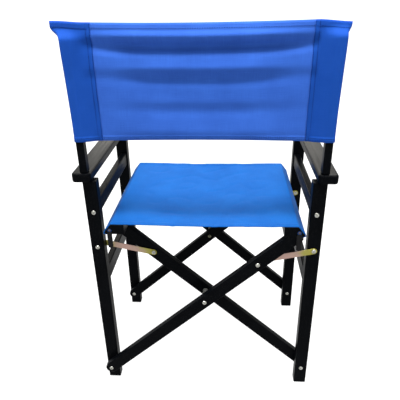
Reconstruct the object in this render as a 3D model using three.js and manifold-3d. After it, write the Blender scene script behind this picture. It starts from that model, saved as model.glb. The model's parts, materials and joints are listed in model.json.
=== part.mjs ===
// Folding director chair: black wooden frame, canvas seat and back, zinc-plated link plates.
// Millimetres, +Z up. The sitter faces -Y, so +X is the sitter's left and +Y is behind the chair.
// The origin is on the floor, midway between the four legs.
import * as THREE from 'three';
import { mergeVertices } from 'three/addons/utils/BufferGeometryUtils.js';
import Module from 'manifold-3d';

const wasm = await Module();
wasm.setup();

// ---- Driving dimensions ----

const clearance = 0.3; // between touching pieces
const overcut = 1; // how far a cutter passes the face that it opens
const fineSegments = 4; // in the rounded corners that show most

// Side frames: two legs, an armrest and two side rails on each side.
const legX = 243; // from the middle of the chair to the middle of a leg
const legWidth = 30;
const legDepth = 24;
const rearLegY = 153; // middle of the rear legs, and minus this for the front legs
const edgeRadius = 2.5; // along the long edges of the wood
const endRadius = 2; // round its ends

const armrestBottom = 567;
const armrestThickness = 20;
const armrestInnerX = 235.5;
const armrestOuterX = 277;
const armrestRearY = 175;
const armrestFrontY = -186;
const armrestCornerRadius = 9;
const armrestRounding = 3.5; // along its edges

const sideRailInnerX = 231;
const sideRailThickness = 16;
const upperRailBottom = 485;
const upperRailHeight = 33;
const lowerRailBottom = 298;
const lowerRailHeight = 37;
const railScrewX = 241.5;
const railScrewZ = 492;
const railScrewRadius = 2.5;
const railScrewReach = 30; // into the rail

const postX = 250;
const postWidth = 16;
const postDepth = 20;
const postRearY = 171;
const postTop = 851;
const tenonY = 158;
const tenonRadius = 5;
const tenonDepthInLeg = 22; // of its hole
const tenonEndGap = 1;
const tenonRoot = 4; // how far the tenon reaches up into the post
const frontDowelRadius = 4;
const frontDowelReach = 12;

// Cross frames: two X pairs, each with a near and a far cross leg on either side of the legs.
const footPivotZ = 50;
const crossPivotZ = 268;
const crossLegWidth = 29;
const crossLegThickness = 16;
const crossLegGap = 4; // between a leg and the cross leg beside it
const crossLegTopX = 215;
const crossLegRounding = 1.5;

const seatRailInnerX = 173;
const seatRailTopOuterX = 202.6;
const seatRailOuterX = 216.6;
const seatRailBottom = 450;
const seatRailTop = 473;
const seatRailLipZ = 453;
const seatRailLipWidth = 2;
const seatRailHalfLength = 185;
const seatDowelX = 205.5;
const seatDowelZ = 458.5;
const seatDowelRadius = 3.4;
const seatDowelSegments = 14;
const grooveRadius = 4.9;
const seatDowelLength = 366;
const grooveMouth = 4;
const keeperWidth = 11; // the strip over the rear end of the dowel
const keeperTop = 456.5;
const keeperBottom = 415.5;
const keeperThickness = 2;
const keeperEndRadius = 5.4;
const keeperRounding = 0.4;
const seatScrewX = 188;
const seatScrewRadius = 2;
const seatScrewHeadRadius = 4;
const seatScrewHeadDepth = 2.5;
const seatScrewReach = 12; // into the cross leg

// Link plates between each leg and the cross leg that leads up past it.
const linkLegZ = 403;
const linkAlongCrossLeg = 161; // from the cross pivot up the cross leg to its link pivot
const linkWidth = 14;
const linkThickness = 1.6;

// Fasteners
const shankRadius = 3;
const headRadius = 5;
const headHeight = 2.4;
const headRimHeight = 0.6;
const nutRadius = 4.5;
const nutHeight = 2.4;
const spacerRadius = 6;
const washerRadius = 8;
const legBoltTipDepth = 2; // of the right link bolts, behind the leg's front face

// Canvas
const canvasThickness = 2;
const seatTopZ = 475.6;
const seatFlatHalfWidth = 204.5;
const seatHalfWidth = 220;
const seatEdgeZ = 452;
const seatHalfLength = 184.5;
const backBottom = 656;
const backTop = 879;
const backPanelY = 163;
const sleeveSlack = 1; // round the post
const sleeveSeamWidth = 6; // sewn flat beside the stitch line
const sleeveStitchX = 211;
const sleeveOuterX = 261;

// ---- Materials ----

function paint(colour, roughness, metalness) {
  return new THREE.MeshStandardMaterial({ color: colour, roughness, metalness });
}

const lacquer = paint(0x0c0c0e, 0.35, 0);
const canvas = paint(0x1c5fd0, 0.85, 0);
const zinc = paint(0xb9a878, 0.35, 0.9);
const steel = paint(0xb9bcc0, 0.3, 0.95);
const blackSteel = paint(0x1a1a1c, 0.4, 0.8);
const pine = paint(0xc9a878, 0.7, 0);

// ---- Geometry helpers ----

function toManifold(geometry) {
  const bare = geometry.clone();
  bare.deleteAttribute('normal');
  bare.deleteAttribute('uv');
  const merged = mergeVertices(bare, 1e-4);
  const mesh = new wasm.Mesh({
    numProp: 3,
    vertProperties: new Float32Array(merged.attributes.position.array),
    triVerts: new Uint32Array(merged.index.array),
  });
  return new wasm.Manifold(mesh);
}

function toGeometry(manifold) {
  const mesh = manifold.getMesh();
  const geometry = new THREE.BufferGeometry();
  geometry.setAttribute('position', new THREE.BufferAttribute(mesh.vertProperties, 3));
  geometry.setIndex(new THREE.BufferAttribute(mesh.triVerts, 1));
  geometry.computeVertexNormals();
  return geometry;
}

function cut(geometry, cutters) {
  let body = toManifold(geometry);
  for (const cutter of cutters) {
    body = body.subtract(toManifold(cutter));
  }
  return toGeometry(body);
}

// The same piece on the other side of the chair's middle plane.
function mirrorImage(geometry) {
  return toGeometry(toManifold(geometry).mirror([1, 0, 0]));
}

const group = new THREE.Group();

function add(name, geometry, material) {
  const mesh = new THREE.Mesh(geometry, material);
  mesh.name = name;
  group.add(mesh);
  return mesh;
}

function roundedRectangle(x0, y0, x1, y1, radius) {
  const shape = new THREE.Shape();
  shape.moveTo(x0 + radius, y0);
  shape.lineTo(x1 - radius, y0);
  shape.absarc(x1 - radius, y0 + radius, radius, -Math.PI / 2, 0);
  shape.lineTo(x1, y1 - radius);
  shape.absarc(x1 - radius, y1 - radius, radius, 0, Math.PI / 2);
  shape.lineTo(x0 + radius, y1);
  shape.absarc(x0 + radius, y1 - radius, radius, Math.PI / 2, Math.PI);
  shape.lineTo(x0, y0 + radius);
  shape.absarc(x0 + radius, y0 + radius, radius, Math.PI, 1.5 * Math.PI);
  return shape;
}

// Extrudes a shape from z0 to z1 with both end edges rounded off.
function extrude(shape, z0, z1, rounding, cornerSegments = 2) {
  const geometry = new THREE.ExtrudeGeometry(shape, {
    depth: z1 - z0 - 2 * rounding,
    bevelEnabled: rounding > 0,
    bevelThickness: rounding,
    bevelSize: rounding,
    bevelOffset: -rounding,
    bevelSegments: 2,
    curveSegments: cornerSegments,
  });
  geometry.translate(0, 0, z0 + rounding);
  return geometry;
}

// A shape drawn in X and Z, extruded from y0 back to y1.
function extrudeAlongY(shape, y0, y1, rounding, cornerSegments = 2) {
  const geometry = extrude(shape, 0, y1 - y0, rounding, cornerSegments);
  geometry.rotateX(Math.PI / 2);
  geometry.translate(0, y1, 0);
  return geometry;
}

// A straight cylinder along Y.
function rod(x, z, y0, y1, radius, segments = 12) {
  const geometry = new THREE.CylinderGeometry(radius, radius, y1 - y0, segments);
  geometry.translate(x, (y0 + y1) / 2, z);
  return geometry;
}

// A straight cylinder along Z.
function pin(x, y, z0, z1, radius, segments = 12) {
  const geometry = new THREE.CylinderGeometry(radius, radius, z1 - z0, segments);
  geometry.rotateX(Math.PI / 2);
  geometry.translate(x, y, (z0 + z1) / 2);
  return geometry;
}

// A turned piece on an axis along Y. The profile lists [radius, y] from the front end to the rear end.
function turned(x, z, profile, segments = 12) {
  const points = profile.map(([radius, y]) => new THREE.Vector2(radius, y));
  const geometry = new THREE.LatheGeometry(points, segments);
  geometry.translate(x, 0, z);
  return geometry;
}

// The domed head of a bolt whose seat is at `seatY`, as profile points that end on the axis.
function headProfile(seatY) {
  return [
    [headRadius, seatY],
    [headRadius, seatY + headRimHeight],
    [0.75 * headRadius, seatY + 0.8 * headHeight],
    [0, seatY + headHeight],
  ];
}

// A plain bolt, rivet or screw with its domed head to the rear.
function bolt(x, z, tipY, seatY, radius = shankRadius) {
  return turned(x, z, [[0, tipY], [radius, tipY], [radius, seatY], ...headProfile(seatY)]);
}

// A bolt right through the wood from its domed head at `seatY` to a nut against the face at `nutY`.
function throughBolt(x, z, nutY, seatY) {
  const tipY = nutY - nutHeight;
  return turned(x, z, [
    [0, tipY],
    [nutRadius, tipY],
    [nutRadius, nutY],
    [shankRadius, nutY],
    [shankRadius, seatY],
    ...headProfile(seatY),
  ]);
}

// A washer or spacer tube that a bolt runs through.
function ring(x, z, y0, y1, outer) {
  const inner = shankRadius + clearance;
  return turned(x, z, [[inner, y0], [outer, y0], [outer, y1], [inner, y1], [inner, y0]]);
}

function holeAlongY(x, z, y0, y1, radius = shankRadius + clearance) {
  return rod(x, z, y0, y1, radius);
}

// ---- Places worked out from the driving dimensions ----

const crossLegLength = Math.hypot(legX, crossPivotZ - footPivotZ); // foot pivot to cross pivot
const crossCos = legX / crossLegLength;
const crossSin = (crossPivotZ - footPivotZ) / crossLegLength;
const linkCrossX = linkAlongCrossLeg * crossCos;
const linkCrossZ = crossPivotZ + linkAlongCrossLeg * crossSin;

// Each X pair has four layers along Y: the near cross leg, the legs, and the far cross leg.
function pairLayers(legMiddleY) {
  const legRear = legMiddleY + legDepth / 2;
  const legFront = legMiddleY - legDepth / 2;
  const nearFront = legRear + crossLegGap;
  const farRear = legFront - crossLegGap;
  return {
    legRear,
    legFront,
    nearFront,
    nearRear: nearFront + crossLegThickness,
    farRear,
    farFront: farRear - crossLegThickness,
  };
}

const pairs = {
  rear: pairLayers(rearLegY),
  front: pairLayers(-rearLegY),
};
const sides = { left: 1, right: -1 };

// ---- Side frames ----

function leg(pairName, sideName) {
  const side = sides[sideName];
  const layers = pairs[pairName];
  const x = side * legX;
  const outline = roundedRectangle(
    x - legWidth / 2, layers.legFront, x + legWidth / 2, layers.legRear, edgeRadius);
  const y0 = layers.legFront - overcut;
  const y1 = layers.legRear + overcut;
  const cutters = [
    holeAlongY(x, footPivotZ, y0, y1),
    holeAlongY(x, linkLegZ, y0, y1),
    holeAlongY(side * railScrewX, railScrewZ, y0, y1, railScrewRadius + clearance),
  ];
  const top = armrestBottom - clearance;
  if (pairName === 'rear') {
    cutters.push(pin(side * postX, tenonY, top - tenonDepthInLeg, top + overcut, tenonRadius + clearance));
  } else {
    const holeBottom = top - frontDowelReach - overcut;
    cutters.push(pin(x, -rearLegY, holeBottom, top + overcut, frontDowelRadius + clearance));
  }
  add(`${sideName}_${pairName}_leg`, cut(extrude(outline, 0, top, endRadius), cutters), lacquer);
}

function sideRail(sideName, label, bottom, height, screwed) {
  const side = sides[sideName];
  const xs = [side * sideRailInnerX, side * (sideRailInnerX + sideRailThickness)];
  const outline = roundedRectangle(
    Math.min(...xs), bottom, Math.max(...xs), bottom + height, edgeRadius);
  const end = rearLegY - legDepth / 2 - clearance;
  const body = extrudeAlongY(outline, -end, end, 0);
  const cutters = [];
  if (screwed) {
    const x = side * railScrewX;
    const holeEnd = end - railScrewReach - overcut;
    const radius = railScrewRadius + clearance;
    cutters.push(holeAlongY(x, railScrewZ, holeEnd, end + overcut, radius));
    cutters.push(holeAlongY(x, railScrewZ, -end - overcut, -holeEnd, radius));
  }
  add(`${sideName}_${label}_side_rail`, cut(body, cutters), lacquer);
}

function railScrews(sideName) {
  const x = sides[sideName] * railScrewX;
  const tip = pairs.rear.legFront - railScrewReach;
  const seat = pairs.rear.legRear + clearance;
  const rearScrew = bolt(0, railScrewZ, tip, seat, railScrewRadius);
  const frontScrew = rearScrew.clone().rotateZ(Math.PI);
  add(`${sideName}_rear_rail_screw`, rearScrew.translate(x, 0, 0), steel);
  add(`${sideName}_front_rail_screw`, frontScrew.translate(x, 0, 0), steel);
}

function armrest(sideName) {
  const outline = roundedRectangle(
    -armrestOuterX, armrestFrontY, -armrestInnerX, armrestRearY, armrestCornerRadius);
  const z1 = armrestBottom + armrestThickness;
  const holeBottom = armrestBottom - overcut;
  const board = cut(extrude(outline, armrestBottom, z1, armrestRounding, fineSegments), [
    pin(-postX, tenonY, holeBottom, z1 + overcut, tenonRadius + clearance),
    pin(-legX, -rearLegY, holeBottom, armrestBottom + frontDowelReach + overcut,
      frontDowelRadius + clearance),
  ]);
  add(`${sideName}_armrest`, sideName === 'left' ? mirrorImage(board) : board, lacquer);
}

function frontArmrestDowel(sideName) {
  const x = sides[sideName] * legX;
  const dowel = pin(x, -rearLegY, armrestBottom - frontDowelReach, armrestBottom + frontDowelReach,
    frontDowelRadius);
  add(`${sideName}_armrest_dowel`, dowel, pine);
}

function backPost(sideName) {
  const x = sides[sideName] * postX;
  const outline = roundedRectangle(
    x - postWidth / 2, postRearY - postDepth, x + postWidth / 2, postRearY, edgeRadius);
  const shoulder = armrestBottom + armrestThickness + clearance;
  const upright = toManifold(extrude(outline, shoulder, postTop, endRadius));
  const tenonBottom = armrestBottom - tenonDepthInLeg + tenonEndGap;
  const tenon = toManifold(pin(x, tenonY, tenonBottom, shoulder + tenonRoot, tenonRadius));
  add(`${sideName}_back_post`, toGeometry(upright.add(tenon)), lacquer);
}

for (const sideName of Object.keys(sides)) {
  leg('rear', sideName);
  leg('front', sideName);
  sideRail(sideName, 'upper', upperRailBottom, upperRailHeight, true);
  sideRail(sideName, 'lower', lowerRailBottom, lowerRailHeight, false);
  railScrews(sideName);
  armrest(sideName);
  frontArmrestDowel(sideName);
  backPost(sideName);
}

// ---- Cross frames ----

// The outline of a cross leg in X and Z, from a round foot to a top cut level under its seat rail.
// topSide is +1 where the leg leads up to the left, with its foot on the right.
function crossLegOutline(topSide) {
  const half = crossLegWidth / 2;
  const slope = crossSin / crossCos;
  const rise = half / crossCos; // from the middle line straight up to the upper edge
  const level = seatRailBottom - clearance;
  const footX = -legX;
  const upperEnd = [(level - crossPivotZ - rise) / slope, level];
  const lowerEnd = [crossLegTopX, crossPivotZ + slope * crossLegTopX - rise];
  const footTurn = Math.atan2(crossCos, -crossSin); // from the foot pivot to the upper edge
  const footArcSteps = 10;
  const points = [upperEnd];
  for (let i = 0; i <= footArcSteps; i += 1) {
    const angle = footTurn + (Math.PI * i) / footArcSteps;
    points.push([footX + half * Math.cos(angle), footPivotZ + half * Math.sin(angle)]);
  }
  points.push(lowerEnd, [crossLegTopX, level]);
  return new THREE.Shape(points.map(([x, z]) => new THREE.Vector2(topSide * x, z)));
}

// placement is near (behind the legs) or far (in front of them) within its pair.
function crossLeg(pairName, topSideName, placement) {
  const side = sides[topSideName];
  const layers = pairs[pairName];
  const y1 = placement === 'near' ? layers.nearRear : layers.farRear;
  const y0 = y1 - crossLegThickness;
  const board = extrudeAlongY(crossLegOutline(side), y0, y1, crossLegRounding);
  const middleY = (y0 + y1) / 2;
  const cutters = [
    holeAlongY(-side * legX, footPivotZ, y0 - overcut, y1 + overcut),
    holeAlongY(0, crossPivotZ, y0 - overcut, y1 + overcut),
    pin(side * seatScrewX, middleY, seatRailBottom - seatScrewReach - overcut,
      seatRailBottom + overcut, seatScrewRadius + clearance),
  ];
  if (placement === 'near') {
    cutters.push(holeAlongY(side * linkCrossX, linkCrossZ, y0 - overcut, y1 + overcut));
  }
  add(`${pairName}_cross_leg_to_${topSideName}`, cut(board, cutters), lacquer);
}

// The seat rail in X and Z: a flat top, a sloping outer shoulder, and a keyhole groove for the dowel.
function seatRailOutline(side) {
  const mouth = grooveMouth / 2;
  const neckAngle = Math.asin(mouth / grooveRadius);
  const arcSteps = 14;
  const sweep = 2 * Math.PI - 2 * neckAngle;
  const points = [
    [seatRailInnerX, seatRailTop],
    [seatRailInnerX, seatRailBottom],
    [seatDowelX - mouth, seatRailBottom],
  ];
  for (let i = 0; i <= arcSteps; i += 1) {
    const angle = -Math.PI / 2 - neckAngle - (sweep * i) / arcSteps;
    points.push([
      seatDowelX + grooveRadius * Math.cos(angle),
      seatDowelZ + grooveRadius * Math.sin(angle),
    ]);
  }
  points.push(
    [seatDowelX + mouth, seatRailBottom],
    [seatRailOuterX - seatRailLipWidth, seatRailBottom],
    [seatRailOuterX, seatRailLipZ],
    [seatRailTopOuterX, seatRailTop],
  );
  return new THREE.Shape(points.map(([x, z]) => new THREE.Vector2(side * x, z)));
}

const seatScrewPlaces = {
  left: { rear: pairs.rear.farRear, front: pairs.front.farRear },
  right: { rear: pairs.rear.nearRear, front: pairs.front.nearRear },
};

function seatRail(sideName) {
  const side = sides[sideName];
  const board = extrudeAlongY(
    seatRailOutline(side), -seatRailHalfLength, seatRailHalfLength, 0);
  const cutters = [];
  for (const [pairName, rearFace] of Object.entries(seatScrewPlaces[sideName])) {
    const y = rearFace - crossLegThickness / 2;
    const x = side * seatScrewX;
    const headBottom = seatRailTop - seatScrewHeadDepth;
    const above = seatRailTop + overcut;
    cutters.push(pin(x, y, seatRailBottom - overcut, above, seatScrewRadius + clearance));
    cutters.push(pin(x, y, headBottom - clearance, above, seatScrewHeadRadius + clearance));
    const tip = seatRailBottom - seatScrewReach;
    const shank = toManifold(pin(x, y, tip, headBottom + seatScrewHeadDepth / 2, seatScrewRadius));
    const head = toManifold(pin(x, y, headBottom, seatRailTop - clearance, seatScrewHeadRadius));
    add(`${sideName}_seat_rail_${pairName}_screw`, toGeometry(shank.add(head)), blackSteel);
  }
  add(`${sideName}_seat_rail`, cut(board, cutters), lacquer);
  const dowel = rod(side * seatDowelX, seatDowelZ, -seatDowelLength / 2, seatDowelLength / 2,
    seatDowelRadius, seatDowelSegments);
  add(`${sideName}_seat_dowel`, dowel, pine);
}

// A flat strip with round ends across the rear end of the rail, which stops the dowel from sliding out.
function dowelKeeper(sideName) {
  const x = sides[sideName] * seatDowelX;
  const outline = roundedRectangle(
    x - keeperWidth / 2, keeperBottom, x + keeperWidth / 2, keeperTop, keeperEndRadius);
  const y0 = seatRailHalfLength + clearance;
  const strip = extrudeAlongY(outline, y0, y0 + keeperThickness, keeperRounding, fineSegments);
  add(`${sideName}_dowel_keeper`, strip, blackSteel);
}

for (const pairName of Object.keys(pairs)) {
  crossLeg(pairName, 'right', 'near');
  crossLeg(pairName, 'left', 'far');
}
for (const sideName of Object.keys(sides)) {
  seatRail(sideName);
  dowelKeeper(sideName);
}

// ---- Pivots ----

for (const [pairName, layers] of Object.entries(pairs)) {
  const { legRear, legFront, nearFront, nearRear, farRear, farFront } = layers;
  const nearSeat = nearRear + clearance;
  const farNut = farFront - clearance;

  // The left foot bolt runs through the near cross leg and the left leg.
  add(`left_${pairName}_foot_bolt`,
    throughBolt(legX, footPivotZ, legFront - clearance, nearSeat), steel);
  add(`left_${pairName}_foot_washer`,
    ring(legX, footPivotZ, legRear + clearance, nearFront - clearance, washerRadius), steel);

  // The right foot bolt runs through the right leg and the far cross leg.
  add(`right_${pairName}_foot_bolt`,
    throughBolt(-legX, footPivotZ, farNut, legRear + clearance), steel);
  add(`right_${pairName}_foot_washer`,
    ring(-legX, footPivotZ, farRear + clearance, legFront - clearance, washerRadius), steel);

  // The cross bolt runs through both cross legs and the spacer tube between them.
  add(`${pairName}_cross_bolt`, throughBolt(0, crossPivotZ, farNut, nearSeat), steel);
  add(`${pairName}_cross_spacer`,
    ring(0, crossPivotZ, farRear + clearance, nearFront - clearance, spacerRadius), steel);
}

// ---- Link plates ----

function linkPlate(sideName, pairName) {
  const side = sides[sideName];
  const layers = pairs[pairName];
  const gapMiddle = sideName === 'left'
    ? (layers.farRear + layers.legFront) / 2
    : (layers.legRear + layers.nearFront) / 2;
  const y0 = gapMiddle - linkThickness / 2;
  const y1 = gapMiddle + linkThickness / 2;
  const from = new THREE.Vector2(side * legX, linkLegZ);
  const to = new THREE.Vector2(side * linkCrossX, linkCrossZ);
  const along = Math.atan2(to.y - from.y, to.x - from.x);
  const outline = new THREE.Shape();
  outline.absarc(to.x, to.y, linkWidth / 2, along - Math.PI / 2, along + Math.PI / 2);
  outline.absarc(from.x, from.y, linkWidth / 2, along + Math.PI / 2, along + 1.5 * Math.PI);
  const plate = extrudeAlongY(outline, y0, y1, 0, 2 * fineSegments);
  const cutters = [
    holeAlongY(from.x, from.y, y0 - overcut, y1 + overcut),
    holeAlongY(to.x, to.y, y0 - overcut, y1 + overcut),
  ];
  add(`${sideName}_${pairName}_link`, cut(plate, cutters), zinc);
  return { y0, y1 };
}

for (const [pairName, layers] of Object.entries(pairs)) {
  // Left: the plate lies in front of the leg, on the rear face of the far cross leg.
  const left = linkPlate('left', pairName);
  const leftTip = left.y0 - clearance;
  add(`left_${pairName}_link_leg_bolt`,
    bolt(legX, linkLegZ, leftTip, layers.legRear + clearance), steel);
  add(`left_${pairName}_link_end_rivet`,
    bolt(linkCrossX, linkCrossZ, layers.farRear + clearance, left.y1 + clearance), steel);

  // Right: the plate lies on the rear face of the leg, in front of the near cross leg.
  const right = linkPlate('right', pairName);
  add(`right_${pairName}_link_leg_bolt`,
    bolt(-legX, linkLegZ, layers.legFront + legBoltTipDepth, right.y1 + clearance), steel);
  add(`right_${pairName}_link_cross_bolt`,
    bolt(-linkCrossX, linkCrossZ, right.y1 + clearance, layers.nearRear + clearance), steel);
}

// ---- Canvas seat and back ----

// The seat spans the rails and wraps down over their outer shoulders.
function seatCanvas() {
  const half = [
    [seatFlatHalfWidth, seatTopZ],
    [seatHalfWidth, seatEdgeZ],
    [seatHalfWidth - canvasThickness, seatEdgeZ],
    [seatFlatHalfWidth - 1, seatTopZ - canvasThickness],
  ];
  const mirrored = half.map(([x, z]) => [-x, z]).reverse();
  const outline = new THREE.Shape([...half, ...mirrored].map(([x, z]) => new THREE.Vector2(x, z)));
  add('seat_canvas', extrudeAlongY(outline, -seatHalfLength, seatHalfLength, 0), canvas);
}

// The back is one panel with a tapering sleeve round each post, open at both ends.
function backCanvas() {
  const wall = canvasThickness;
  const rearY = postRearY + clearance + sleeveSlack;
  const frontY = postRearY - postDepth - clearance - sleeveSlack;
  const postInnerX = postX - postWidth / 2 - sleeveSlack;
  const panelRear = backPanelY + wall / 2;
  const panelFront = backPanelY - wall / 2;
  const sleeve = [
    [sleeveStitchX, panelFront],
    [postInnerX, frontY - wall],
    [sleeveOuterX - wall, frontY - wall],
    [sleeveOuterX, frontY + wall],
    [sleeveOuterX, rearY - wall],
    [sleeveOuterX - wall, rearY + wall],
    [postInnerX, rearY + wall],
    [sleeveStitchX, panelRear],
  ];
  const mirrored = sleeve.map(([x, y]) => [-x, y]).reverse();
  const outline = new THREE.Shape([...sleeve, ...mirrored].map(([x, y]) => new THREE.Vector2(x, y)));
  for (const side of Object.values(sides)) {
    const tunnel = [
      [sleeveStitchX + sleeveSeamWidth, backPanelY],
      [postInnerX, frontY],
      [sleeveOuterX - wall, frontY],
      [sleeveOuterX - wall, rearY],
      [postInnerX, rearY],
    ];
    outline.holes.push(new THREE.Path(tunnel.map(([x, y]) => new THREE.Vector2(side * x, y))));
  }
  add('back_canvas', extrude(outline, backBottom, backTop, 0), canvas);
}

seatCanvas();
backCanvas();

export default group;
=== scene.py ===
"""Looks for the folding director chair: canvas, stitching, plated links, bolts, lacquer, light and camera.

Metres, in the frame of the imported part: +Z up, the sitter faces -Y, the origin on the floor.
"""

import json
import math

import bpy
from mathutils import Matrix, Vector, noise


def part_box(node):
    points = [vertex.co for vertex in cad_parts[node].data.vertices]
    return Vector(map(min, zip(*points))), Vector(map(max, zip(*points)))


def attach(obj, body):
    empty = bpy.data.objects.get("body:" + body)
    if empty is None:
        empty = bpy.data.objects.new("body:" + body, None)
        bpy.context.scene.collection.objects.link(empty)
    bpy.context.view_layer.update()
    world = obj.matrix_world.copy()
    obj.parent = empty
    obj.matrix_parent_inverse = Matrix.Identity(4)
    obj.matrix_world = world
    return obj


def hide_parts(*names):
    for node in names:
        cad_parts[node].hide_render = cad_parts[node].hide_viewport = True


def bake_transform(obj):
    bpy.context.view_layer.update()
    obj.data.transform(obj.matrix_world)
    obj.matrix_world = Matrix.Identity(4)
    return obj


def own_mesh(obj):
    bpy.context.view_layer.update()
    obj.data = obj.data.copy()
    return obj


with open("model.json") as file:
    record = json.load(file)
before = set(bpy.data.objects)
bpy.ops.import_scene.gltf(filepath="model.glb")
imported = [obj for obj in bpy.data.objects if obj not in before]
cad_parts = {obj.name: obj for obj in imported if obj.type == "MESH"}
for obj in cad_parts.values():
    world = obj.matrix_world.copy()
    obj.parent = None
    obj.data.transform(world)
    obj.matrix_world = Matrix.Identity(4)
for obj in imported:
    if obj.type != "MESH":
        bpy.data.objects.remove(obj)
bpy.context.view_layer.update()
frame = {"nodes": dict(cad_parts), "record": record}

MM = 0.001

# ---- Camera, floor and light ----

SENSOR = 0.036
CAMERA_PLACE = (-0.0508, 1.0223, 0.9431)
CAMERA_FOCAL_SHARE = 1.121  # focal length over the width of the sensor
CAMERA_PITCH = 0.4524  # down
CAMERA_YAW = 0.0675  # towards +X
CAMERA_ROLL = -0.0192
ZENITH = 8.0  # brightness straight above
HORIZON = 1.07 / ZENITH
CEILING = 0.88 / ZENITH
FLOOR_SIZE = 80
FLOOR_TONE = 0.10
FLOOR_GLOW = 0.97
WHITE = (1.0, 1.0, 1.0)
DAYLIGHT = (1.0, 0.96, 0.87)
OVERHEAD_POWER = 160  # W
WINDOW_POWER = 85


def make_camera():
    data = bpy.data.cameras.new("camera")
    data.sensor_width = SENSOR / MM
    data.lens = CAMERA_FOCAL_SHARE * SENSOR / MM
    camera = bpy.data.objects.new("camera", data)
    bpy.context.scene.collection.objects.link(camera)
    forward = Vector((
        math.sin(CAMERA_YAW) * math.cos(CAMERA_PITCH),
        -math.cos(CAMERA_YAW) * math.cos(CAMERA_PITCH),
        -math.sin(CAMERA_PITCH),
    ))
    level_right = forward.cross(Vector((0, 0, 1))).normalized()
    level_up = level_right.cross(forward)
    right = math.cos(CAMERA_ROLL) * level_right + math.sin(CAMERA_ROLL) * level_up
    up = math.cos(CAMERA_ROLL) * level_up - math.sin(CAMERA_ROLL) * level_right
    camera.matrix_world = Matrix((
        (right.x, up.x, -forward.x, CAMERA_PLACE[0]),
        (right.y, up.y, -forward.y, CAMERA_PLACE[1]),
        (right.z, up.z, -forward.z, CAMERA_PLACE[2]),
        (0, 0, 0, 1),
    ))
    bpy.context.scene.camera = camera


def softbox(name, place, target, width, height, power, colour):
    """A rectangular area lamp at `place` that shines towards `target`."""
    data = bpy.data.lights.new(name, "AREA")
    data.shape = "RECTANGLE"
    data.size = width
    data.size_y = height
    data.energy = power
    data.color = colour
    lamp = bpy.data.objects.new(name, data)
    lamp.location = place
    aim = Vector(target) - Vector(place)
    lamp.rotation_mode = "QUATERNION"
    lamp.rotation_quaternion = aim.to_track_quat("-Z", "Y")
    bpy.context.scene.collection.objects.link(lamp)


def make_studio():
    """A white floor that fades into a white horizon, a bright ceiling, a lamp above and a window in front."""
    scene = bpy.context.scene
    scene.view_settings.view_transform = "Standard"
    world = bpy.data.worlds.new("studio")
    world.use_nodes = True
    tree = world.node_tree
    height = node(tree, "SeparateXYZ", {0: node(tree, "TexCoord").outputs["Generated"]}).outputs[2]
    sky = ramp(tree, height, [
        (0.22, grey(HORIZON)), (0.42, grey(CEILING)), (0.74, grey(CEILING)), (0.90, grey(1.0))])
    tree.links.new(sky, tree.nodes["Background"].inputs["Color"])
    tree.nodes["Background"].inputs["Strength"].default_value = ZENITH
    scene.world = world

    bpy.ops.mesh.primitive_plane_add(size=FLOOR_SIZE)
    floor = bpy.context.object
    floor.name = "studio_floor"
    shader = new_material("studio_floor")[1]
    shader.inputs["Base Color"].default_value = (*grey(FLOOR_TONE), 1.0)
    shader.inputs["Roughness"].default_value = 0.9
    shader.inputs["Specular IOR Level"].default_value = 0.0
    shader.inputs["Emission Color"].default_value = (*WHITE, 1.0)
    shader.inputs["Emission Strength"].default_value = FLOOR_GLOW
    floor.data.materials.append(bpy.data.materials["studio_floor"])

    softbox("overhead", (0.0, 0.66, 3.0), (0.0, 0.16, 0.7), 1.6, 0.55, OVERHEAD_POWER, WHITE)
    softbox("window", (0.0, -3.2, 1.9), (0.0, 0.0, 0.6), 3.0, 1.6, WINDOW_POWER, DAYLIGHT)


# ---- Node helpers ----


def new_material(name):
    """A fresh material, as its node tree and its Principled shader."""
    material = bpy.data.materials.new(name)
    material.use_nodes = True
    return material.node_tree, material.node_tree.nodes["Principled BSDF"]


def node(tree, kind, inputs=None, **settings):
    """Adds a shader node. An input is a value, or the socket that feeds it."""
    made = tree.nodes.new("ShaderNode" + kind)
    for key, value in settings.items():
        setattr(made, key, value)
    for key, value in (inputs or {}).items():
        if isinstance(value, bpy.types.NodeSocket):
            tree.links.new(value, made.inputs[key])
        else:
            made.inputs[key].default_value = value
    return made


def math_node(tree, operation, *values):
    return node(tree, "Math", dict(enumerate(values)), operation=operation).outputs[0]


def ramp(tree, factor, stops):
    """A colour ramp with (position, colour) stops."""
    made = node(tree, "ValToRGB", {"Fac": factor})
    elements = made.color_ramp.elements
    elements.remove(elements[1])
    elements[0].position = stops[0][0]
    elements[0].color = (*stops[0][1], 1.0)
    for position, colour in stops[1:]:
        elements.new(position).color = (*colour, 1.0)
    return made.outputs["Color"]


def mix_colour(tree, factor, a, b):
    made = node(tree, "Mix", {0: factor, 6: a, 7: b}, data_type="RGBA")
    return made.outputs[2]


def map_vector(tree, coordinates, scale):
    """The coordinates stretched by a scale along each axis."""
    return node(tree, "Mapping", {"Vector": coordinates, "Scale": scale}).outputs[0]


def roughen(tree, shader, height, strength, distance):
    """Sets the shader's normal from a height, and returns it."""
    bump = node(tree, "Bump", {"Height": height, "Strength": strength, "Distance": distance}).outputs[0]
    tree.links.new(bump, shader.inputs["Normal"])
    return bump


def grey(value):
    return (value, value, value)


# ---- Materials ----


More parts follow.
